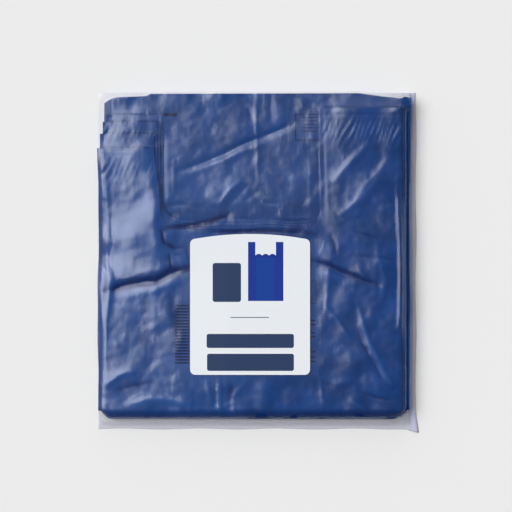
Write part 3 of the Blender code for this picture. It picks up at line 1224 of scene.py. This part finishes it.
@dataclass
class ClearSleeve:
    """The clear film round the bags: one closed envelope, tight at the left, loose at right and foot."""

    stack: BagStack
    raster: float = 1.0
    cell: float = 1.65
    fine_cell: float = 0.6
    shoulder_cell: float = 1.0
    foot_cell: float = 0.9
    lay: float = 0.35
    back: float = 0.12
    clearance: float = 0.22
    relax_rounds: int = 60
    relax_reaches: tuple[int, ...] = (24, 16, 8, 4, 2, 1)
    right_margin: float = 5.2
    foot_margin: float = 4.6
    pull: float = 0.7
    taut_share: float = 0.35
    label_gap: float = 0.14
    film_ripple: float = 0.2
    fully_loose: float = 0.8
    highest_pleat: float = 0.5
    pleat_height: float = 0.9
    ear_reach: float = 2.3
    ear_drop: float = 1.6
    wave: float = 0.5
    wall: tuple[float, ...] = (0.0, 0.3, 0.6, 0.85)

    def __post_init__(self) -> None:
        """Reads the sleeve's box and settles the film over the bags."""
        self.low, self.high = box_mm("clear_sleeve")
        self.grid_x = np.arange(self.low[0], self.high[0] + self.raster, self.raster)
        self.grid_y = np.arange(self.low[1], self.high[1] + self.raster, self.raster)
        x, y = np.meshgrid(self.grid_x, self.grid_y)
        self.support = self.stack.top_of_stack(x, y) + self.clearance
        self.settled = self.settle(x, y)

    def stretch_over(self, floor: Array, free: Array) -> Array:
        """Draws the film tight over the bags, as a stretched skin that can't pass through them.

        Args:
            floor: The lowest that the film can lie at each place.
            free: Where the film isn't held by its own edges.

        Returns:
            The film's height at each place.
        """
        height = floor.copy()
        height[:, 0] = height[:, 1] = np.maximum(height[:, 2] - 0.9, 0)
        height[:, 1] += 0.6
        height[-1, :] = np.maximum(height[-3, :] - 1.0, 0)
        for reach in self.relax_reaches:
            for _ in range(self.relax_rounds):
                wide = np.pad(height, reach, mode="edge")
                sides = wide[:-2 * reach, reach:-reach] + wide[2 * reach:, reach:-reach]
                sides = sides + wide[reach:-reach, :-2 * reach] + wide[reach:-reach, 2 * reach:]
                height = np.where(free, np.maximum(sides / 4, floor), height)
        return height

    def settle(self, x: Array, y: Array) -> Array:
        """Settles the film: stretched over the bags, wrinkled, and pressed flat by the label.

        Args:
            x: Places across the pack.
            y: Places along the pack.

        Returns:
            The film's height at each place.
        """
        low, high = self.low, self.high
        floor = np.maximum(self.support, self.lay + self.film_ripple * np.sin(y / 14.0) ** 2)
        free = np.ones(x.shape, bool)
        free[0, :] = free[-1, :] = free[:, 0] = free[:, -1] = False
        free &= (x <= high[0] - self.right_margin) & (y >= low[1] + self.foot_margin)
        height = self.stretch_over(floor, free)
        loose = smooth(height - self.support, 0.0, self.fully_loose)
        draw = total_height(SLEEVE_CREASES, x, y)
        inner = smooth(x, low[0] + 4, low[0] + 26) * (1 - smooth(x, high[0] - 24, high[0] - 10))
        inner = inner * smooth(y, low[1] + 12, low[1] + 30)
        # Facets in every direction, a few long waves along the tube, and fine ones.
        wrinkle = Crumple(31, 12, 12, 52, 0.46).height_at(x, y) * inner
        wrinkle = wrinkle + Crumple(33, 9, 12, 40, 0.22, 1.75, 0.7).height_at(x, y) * inner
        fine = Crumple(32, 10, 4, 10, 0.05).height_at(x, y) * inner
        label = self.stack.under_label(x, y)
        free_share = np.where(free, 1.0, 0.0) * (1 - label)
        taut = self.taut_share + (1 - self.taut_share) * loose
        height = np.maximum(height + free_share * (self.pull * draw + taut * wrinkle + fine), floor)
        pressed = np.minimum(height, self.stack.label_face(x, y) - self.label_gap)
        height = height * (1 - label) + np.maximum(pressed, self.support - 0.1) * label
        pleats = self.pleat_height * np.abs(np.sin(x * 1.25 + 0.9 * np.sin(y / 23.0)))
        pleats = pleats * smooth(x, high[0] - 9, high[0] - 6) * (1 - smooth(x, high[0] - 2.0, high[0]))
        return np.minimum(height + pleats, high[2] + self.highest_pleat)

    def sample(self, values: Array, x: Array, y: Array) -> Array:
        """Reads a raster between its points.

        Args:
            values: The raster to read.
            x: Places across the pack.
            y: Places along the pack.

        Returns:
            The value at each place.
        """
        across = np.clip((x - self.grid_x[0]) / self.raster, 0, len(self.grid_x) - 1.001)
        along = np.clip((y - self.grid_y[0]) / self.raster, 0, len(self.grid_y) - 1.001)
        column, row = across.astype(int), along.astype(int)
        right, up = across - column, along - row
        low = values[row, column] * (1 - right) + values[row, column + 1] * right
        high = values[row + 1, column] * (1 - right) + values[row + 1, column + 1] * right
        return low * (1 - up) + high * up

    def places(self) -> tuple[Array, Array, Array]:
        """Lays out the envelope's grid, with a standing wall along its left and top sides.

        Returns:
            Places across, places along, and how high up the film each place is: one on the front.
        """
        low, high, cell = self.low, self.high, self.cell
        inner_x = spaced([(low[0] + 0.25, self.fine_cell), (low[0] + 2.5, cell),
                          (high[0] - 18.0, self.shoulder_cell), (high[0] - 4.0, cell), (high[0], cell)])
        inner_y = spaced([(low[1], cell), (low[1] + 5.0, self.foot_cell), (low[1] + 14.0, cell),
                          (high[1] - 2.5, self.fine_cell), (high[1] - 0.25, self.fine_cell)])
        place_x = np.concatenate([np.full(len(self.wall), low[0]), inner_x])
        place_y = np.concatenate([inner_y, np.full(len(self.wall), high[1])])
        share_x = np.concatenate([self.wall, np.ones(len(inner_x))])
        share_y = np.concatenate([np.ones(len(inner_y)), self.wall[::-1]])
        return *np.meshgrid(place_x, place_y), np.minimum(*np.meshgrid(share_x, share_y))

    def bare_haze_and_painted_light(self, x: Array, y: Array) -> Array:
        """Finds where the film has no bags under it and lies pleated on itself.

        Args:
            x: Places across the pack.
            y: Places along the pack.

        Returns:
            Zero over the bags, one beside them, and more at the far right, where the extra haze is painted
            light.
        """
        rows, columns = self.support.shape
        around = np.pad(self.support, 1, mode="edge")
        steps = ((1, 1), (0, 1), (2, 1), (1, 0), (1, 2))
        near = np.max([around[down:down + rows, along:along + columns] for down, along in steps], axis=0)
        bare = 1 - smooth(self.sample(near, x, y), 0.3, 1.2)
        margins = np.maximum(smooth(x, 120, 142), 1 - smooth(y, -150, -140))
        # Painted light: extra haze at the far right lightens the film margin where the stack's shadow falls.
        return bare * margins * (1 + 1.9 * smooth(x, 146, 151))

    def build(self, film: Material, loft_name: str, pleat_and_painted_light_name: str) -> Piece:
        """Builds the envelope: the settled front, walls at the left and top, and a flat back.

        Args:
            film: The film's finish.
            loft_name: The attribute that tells how far the film stands off the bags.
            pleat_and_painted_light_name: The attribute that tells where the film has no bags under it, with
                painted light added at the far right.

        Returns:
            The sleeve's object.
        """
        low, high = self.low, self.high
        x, y, share = self.places()
        front_z = self.lay + (self.sample(self.settled, x, y) - self.lay) * share
        # The sealed foot ends in a flared corner, and both loose sides wave a little.
        ear = self.ear_reach * np.exp(-(((x - high[0]) / 7) ** 2) - ((y - low[1]) / 9) ** 2)
        foot = self.wave * np.sin(x / 12.0) * (1 - smooth(y, low[1], low[1] + 3))
        side = self.wave * np.sin(y / 15.0) * smooth(x, high[0] - 3, high[0])
        front, back = [np.stack([x + side + ear, y + foot - self.ear_drop * ear, z], axis=2)[::-1]
                       for z in (front_z, np.full(x.shape, self.back))]
        keep = np.ones((x.shape[0] - 1, x.shape[1] - 1), bool)
        points, faces, _ = closed_skins(front, back, keep)
        piece = make_piece("clear_film_sleeve", points, faces, film)
        loft = smooth(self.sample(self.settled - self.support, x, y), 0.1, 2.2)
        for name, on_front in ((loft_name, loft), (pleat_and_painted_light_name, self.bare_haze_and_painted_light(x, y))):
            values = np.concatenate([on_front[::-1].ravel(), np.zeros(x.size)]).astype(np.float32)
            piece.data.attributes.new(name, "FLOAT", "POINT").data.foreach_set("value", values)
        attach(piece, BODY)
        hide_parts("clear_sleeve")
        return piece


# ---------------------------------------------------------------- print and label


@dataclass(frozen=True)
class RoundedField:
    """A flat field with rounded corners and, if wanted, an arched top."""

    left: float
    right: float
    low: float
    high: float
    corner: float = 0.0
    arch: float = 0.0
    cell: float = 2.0

    def skins(self, under: Surface, lift: float, thickness: float) -> tuple[Array, Array, Array]:
        """Lays the field on a surface.

        Args:
            under: Height of the surface below.
            lift: How far the underside stands off that surface.
            thickness: How thick the field is.

        Returns:
            The upper skin, the lower skin and the mask of kept cells.
        """
        steps = max(3, round((self.right - self.left) / self.cell))
        across = np.linspace(-1, 1, steps + 1)
        turn = np.linspace(0, math.pi / 2, 7 if self.corner > 0 else 1)
        bend = self.corner * (1 - np.cos(turn))
        rows = max(1, round((self.high - self.low - 2 * self.corner) / self.cell))
        straight = np.linspace(self.low + self.corner, self.high - self.corner, rows + 1)
        inset = np.concatenate([(self.corner - self.corner * np.sin(turn))[:-1], np.zeros(len(straight))])
        inset = np.concatenate([inset, (self.corner - self.corner * np.sin(turn))[:-1][::-1]])
        lines = np.concatenate([(self.low + bend)[:-1], straight, (self.high - bend)[:-1][::-1]])
        middle, half = (self.left + self.right) / 2, (self.right - self.left) / 2
        x = middle + across[None, :] * (half - inset[:, None])
        crown = self.arch * (1 - across**2)
        rise = (lines - self.low) / (self.high - self.low)
        y = lines[:, None] + crown[None, :] * rise[:, None]
        base = under(x, y) + lift
        lower = np.stack([x, y, base], axis=2)
        upper = np.stack([x, y, base + thickness], axis=2)
        return upper[::-1], lower[::-1], np.ones((len(lines) - 1, steps), bool)


def lay_fields(name: str, fields: list[RoundedField], under: Surface, lift: float, thickness: float,
               material: Material) -> Piece:
    """Lays several flat fields on a surface as one piece.

    Args:
        name: The piece's name.
        fields: The fields to lay.
        under: Height of the surface below.
        lift: How far each underside stands off that surface.
        thickness: How thick each field is.
        material: The fields' finish.

    Returns:
        The new object, riding on the pack.
    """
    all_points, all_faces, count = [], [], 0
    for field in fields:
        points, faces, _ = closed_skins(*field.skins(under, lift, thickness))
        all_faces += [[corner + count for corner in face] for face in faces]
        all_points.append(points)
        count += len(points)
    piece = make_piece(name, np.concatenate(all_points), all_faces, material)
    piece.data.set_sharp_from_angle(angle=math.radians(50))
    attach(piece, BODY)
    return piece


@dataclass
class BagPrint:
    """Plain frame, bars and stripes printed on the bags."""

    stack: BagStack
    line: float = 0.75
    film: float = 0.04

    def frame_fields(self, left: float, right: float, low: float, high: float) -> list[RoundedField]:
        """Draws four thin bars round a rectangle.

        Args:
            left: Left edge.
            right: Right edge.
            low: Lower edge.
            high: Upper edge.

        Returns:
            The upper, lower, left and right bar.
        """
        bar = self.line
        return [
            RoundedField(left, right, high - bar, high),
            RoundedField(left, right, low, low + bar),
            RoundedField(left, left + bar, low, high),
            RoundedField(right - bar, right, low, high),
        ]

    def build(self, ink: Material) -> list[Piece]:
        """Builds the print on the recess's face and on the outermost bag.

        Args:
            ink: The print's finish.

        Returns:
            The printed pieces.
        """
        deep = self.frame_fields(36.5, 62.0, 116.2, 142.0)
        deep += [RoundedField(44.0, 58.5, 138.0 - 3.3 * row, 138.7 - 3.3 * row) for row in range(5)]
        deep.append(RoundedField(-90.0, -77.2, 139.6, 142.6))
        front = [RoundedField(-79.2, -65.8, low, low + 1.7) for low in np.arange(-99.0, -41.0, 2.9)]
        front += self.frame_fields(50.6, 57.4, -41.0, -19.0)
        bars = (-58, -62, -70, -73.5, -88, -93.5, -97.5)
        front += [RoundedField(50.6, 56.4, low, low + 1.5) for low in bars]
        stack = self.stack
        return [
            lay_fields("recess_print", deep, stack.recess_height, 0.05, self.film, ink),
            lay_fields("body_print", front, stack.front_height, 0.02, self.film, ink),
        ]


@dataclass
class FrontLabel:
    """The coated paper label, with its printed fields and a plain drawing of a bag."""

    stack: BagStack
    paper: float = 0.16
    ink: float = 0.03
    arch: float = 4.6
    corner: float = 5.0
    handle: float = 7.0
    right_handle: float = 7.2
    overlap: float = 0.2
    lobe_count: int = 3

    def face(self, x: Array, y: Array) -> Array:
        """Height of the label's printed face."""
        return self.stack.label_face(x, y) + self.paper

    def print_fields(self, name: str, fields: list[RoundedField], ink: PrintedFinish,
                     lift: float = 0.01) -> Piece:
        """Prints fields of one ink on the label.

        Args:
            name: The piece's name.
            fields: The fields to print.
            ink: Their finish.
            lift: How far they stand off the paper, more where they lie over other ink.

        Returns:
            The printed piece.
        """
        return lay_fields(name, fields, self.face, lift, self.ink, ink.make())

    def build(self) -> list[Piece]:
        """Builds the paper and everything printed on it.

        Returns:
            The label's pieces.
        """
        low, high = self.stack.label_low, self.stack.label_high
        outline = RoundedField(low[0], high[0], low[1], high[1] - self.arch, self.corner, self.arch)
        paper = lay_fields("label_paper_sheet", [outline], self.stack.label_face, 0.0, self.paper,
                           LABEL_PAPER.make())
        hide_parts("front_label")
        navy = [
            RoundedField(-42.9, -15.6, -39.4, -1.9, 2.4),
            RoundedField(-48.7, 35.3, -83.7, -70.2, 2.0),
            RoundedField(-48.3, 35.3, -105.8, -89.3, 2.0),
        ]
        fields = self.print_fields("label_navy_fields", navy, NAVY_INK)
        drawing = self.bag_drawing()
        rule = self.print_fields("label_rule", [RoundedField(-25.6, 11.3, -54.7, -53.9)], GREY_INK)
        return [paper, fields, *drawing, rule]

    def bag_drawing(self) -> list[Piece]:
        """Prints a plain drawing of a carrier bag: a body with a scalloped mouth and two handles.

        Returns:
            The bag's outline and the lighter front on it.
        """
        left, right, low, notch, high = -8.8, 25.2, -38.5, 5.0, 18.3
        under = notch - self.overlap
        shapes = [
            RoundedField(left, right, low, notch),
            RoundedField(left, left + self.handle, under, high),
            RoundedField(right - self.right_handle, right, under, high),
        ]
        span = (right - left - self.handle - self.right_handle) / self.lobe_count
        for place in range(self.lobe_count):
            start = left + self.handle + span * place
            shapes.append(RoundedField(start, start + span, under, notch + self.overlap, 0.0, 1.7, 0.8))
        centre = [RoundedField(left + 8.0, right - 8.4, low + self.overlap, notch - 2.0)]
        return [
            self.print_fields("label_bag_drawing", shapes, BAG_INK),
            self.print_fields("label_bag_front", centre, BAG_LIGHT_INK, 0.045),
        ]


# ---------------------------------------------------------------- studio


@dataclass
class Studio:
    """Pale floor, soft lights and the camera straight above."""

    view_width: float = 492.3
    view_centre: tuple[float, float] = (-1.15, 4.8)
    camera_height: float = 1600.0
    sensor: float = 36.0
    view_depth_m: float = 20.0
    floor_reach: float = 4000.0
    floor_colour: str = "#E6E6E6"
    surround_colour: str = "#F6F6F6"
    wall_light: float = 0.50
    ceiling_light: float = 0.08
    far_share: float = 0.35
    window_side: tuple[float, float, float] = (-0.75, 0.66, 0.0)
    subject_top: float = 21.0

    def build(self) -> None:
        """Builds the floor, the lights, the world and the camera."""
        self.make_floor()
        self.make_light("key_softbox", -70.0, 35.0, 50.0, 2.8)
        self.make_light("fill_softbox", -20.0, 58.0, 88.0, 1.1)
        self.make_world()
        self.make_camera()
        bpy.context.scene.view_settings.view_transform = "Standard"

    def make_floor(self) -> None:
        """Builds a seamless paper floor."""
        turns = ((-1, -1, 0), (1, -1, 0), (1, 1, 0), (-1, 1, 0))
        paper = PrintedFinish("matt_backdrop_paper", self.floor_colour, 0.9).make()
        make_piece("studio_floor", self.floor_reach * np.array(turns), [(0, 1, 2, 3)], paper)

    def make_light(self, name: str, azimuth: float, lean: float, spread: float, strength: float) -> None:
        """Adds one large round softbox, far enough away to light the floor evenly.

        Args:
            name: The light's name.
            azimuth: Where it stands, in degrees from +Y towards +X.
            lean: How far it leans from straight above, in degrees.
            spread: How wide it looks from the pack, in degrees.
            strength: Its light on a face turned to it, in watts per square metre.
        """
        data = bpy.data.lights.new(name, "SUN")
        data.energy = strength
        data.angle = math.radians(spread)
        light = bpy.data.objects.new(name, data)
        turn, tilt = math.radians(azimuth), math.radians(lean)
        towards = Vector((math.sin(turn) * math.sin(tilt), math.cos(turn) * math.sin(tilt), math.cos(tilt)))
        light.rotation_euler = towards.to_track_quat("Z", "Y").to_euler()
        light.location = towards
        bpy.context.scene.collection.objects.link(light)

    def make_world(self) -> None:
        """Adds the studio's surround: a dim ceiling over walls that are paler on the window side."""
        world = bpy.data.worlds.new("studio_surround")
        world.use_nodes = True
        tree = world.node_tree
        tree.nodes.clear()
        way = add_node(tree, "TexCoord", output="Generated")
        rise = add_node(tree, "SeparateXYZ", {"Vector": way}, "Z")
        height = add_node(tree, "MapRange", {"Value": rise, "To Min": self.wall_light,
                                             "To Max": self.ceiling_light})
        window = add_node(tree, "VectorMath", {0: way, 1: self.window_side}, "Value", operation="DOT_PRODUCT")
        side = add_node(tree, "MapRange", {"Value": window, "From Min": -1.0, "To Min": self.far_share})
        level = add_node(tree, "Math", {0: height, 1: side}, operation="MULTIPLY")
        glow = add_node(tree, "Background", {"Color": linear(self.surround_colour), "Strength": level})
        add_node(tree, "OutputWorld", {"Surface": glow})
        bpy.context.scene.world = world

    def make_camera(self) -> None:
        """Adds the camera, straight above the pack, with the top edge of the pack up."""
        data = bpy.data.cameras.new("camera")
        data.sensor_width = self.sensor
        data.lens = self.sensor * (self.camera_height - self.subject_top) / self.view_width
        data.clip_end = self.view_depth_m
        camera = bpy.data.objects.new("camera", data)
        camera.location = Vector((*self.view_centre, self.camera_height)) * MM
        bpy.context.scene.collection.objects.link(camera)
        bpy.context.scene.camera = camera


# ---------------------------------------------------------------- assembly


def log_piece(piece: Piece) -> None:
    """Reports one piece and its size in faces."""
    LOG.info("built %s with %d faces", piece.name, len(piece.data.polygons))


def main() -> None:
    """Builds the pack from the inside out, then the studio."""
    logging.basicConfig(level=logging.INFO, format="%(name)s: %(message)s")
    stack = BagStack()
    bag_film = BlownHdpeFilm()
    film = bag_film.make()
    edges = KnifeCutFilmEdges().make()
    for level in range(stack.levels):
        log_piece(BagBundle(stack, level).build(film, edges, bag_film.shade_map_name))
    for piece in BagPrint(stack).build(FLEXO_INK.make()):
        log_piece(piece)
    clear = CastClearFilm()
    log_piece(ClearSleeve(stack).build(clear.make(), clear.loft_name, clear.pleat_and_painted_light_name))
    for piece in FrontLabel(stack).build():
        log_piece(piece)
    Studio().build()


if __name__ == "__main__":
    main()
